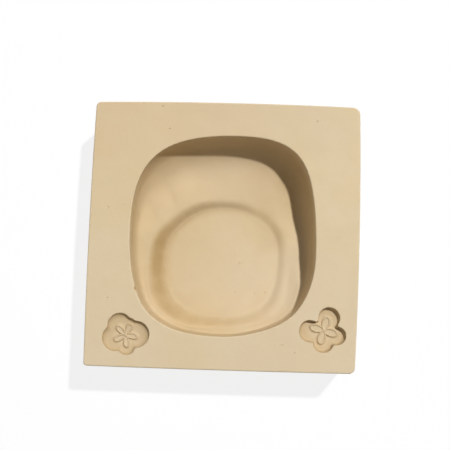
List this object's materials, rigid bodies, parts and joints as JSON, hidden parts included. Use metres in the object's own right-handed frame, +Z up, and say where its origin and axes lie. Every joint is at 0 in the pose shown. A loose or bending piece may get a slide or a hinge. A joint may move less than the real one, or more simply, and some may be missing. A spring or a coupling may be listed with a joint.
{
  "type": "casting mold",
  "caption": "Square one-piece silicone mold with an open rounded cavity for a small vessel, a sunken foot pocket and clover recesses for small tags.",
  "frame": {"origin": "middle of the flat underside that the block rests on", "axes": "+Z up, out of the open cavity; +Y towards the back edge, away from the clover recesses; +X to the right"},
  "size_m": [0.1514, 0.1504, 0.042],
  "materials": {
    "silicone": "matte"
  },
  "bodies": {
    "root": {"mold_block": "silicone"}
  },
  "joints": []
}
